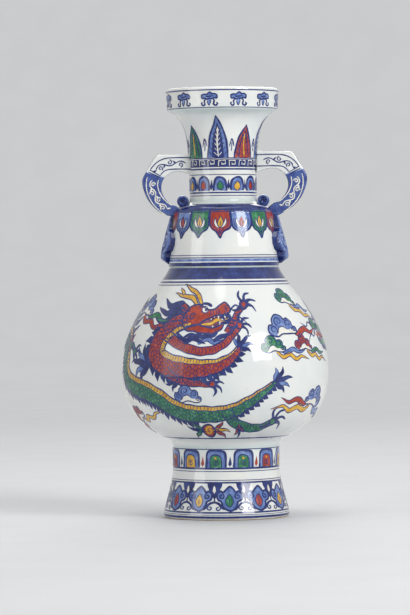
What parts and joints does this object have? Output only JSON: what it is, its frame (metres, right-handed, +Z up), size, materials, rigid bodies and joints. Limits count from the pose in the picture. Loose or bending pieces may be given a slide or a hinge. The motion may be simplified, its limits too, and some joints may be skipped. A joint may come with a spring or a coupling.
{
  "type": "two-handled porcelain vase",
  "caption": "Doucai porcelain vase with a cup-shaped mouth, slender neck, drum collar, round belly, tall spreading foot and a pair of ruyi handles.",
  "frame": {"origin": "centre of the resting rim of the foot, in the plane the vase stands on", "axes": "+Z up along the axis of the vase, -Y the pictured front, handles along +X and -X"},
  "size_m": [0.1456, 0.1456, 0.3],
  "materials": {
    "white_glaze": "gloss",
    "cobalt_glaze": "gloss",
    "cobalt_painting": "gloss",
    "iron_red_enamel": "satin",
    "green_enamel": "gloss",
    "yellow_enamel": "gloss",
    "aubergine_enamel": "gloss",
    "bare_biscuit": "matte"
  },
  "bodies": {
    "root": {"mouth_cup": "white_glaze", "neck": "white_glaze", "collar": "white_glaze", "belly_upper": "white_glaze", "belly_lower": "white_glaze", "foot_ring": "white_glaze", "handle_loop_left": "cobalt_glaze", "handle_loop_right": "cobalt_glaze", "ruyi_terminal_left": "cobalt_glaze", "ruyi_terminal_right": "cobalt_glaze", "handle_curl_left": "cobalt_glaze", "handle_curl_right": "cobalt_glaze"}
  },
  "joints": []
}
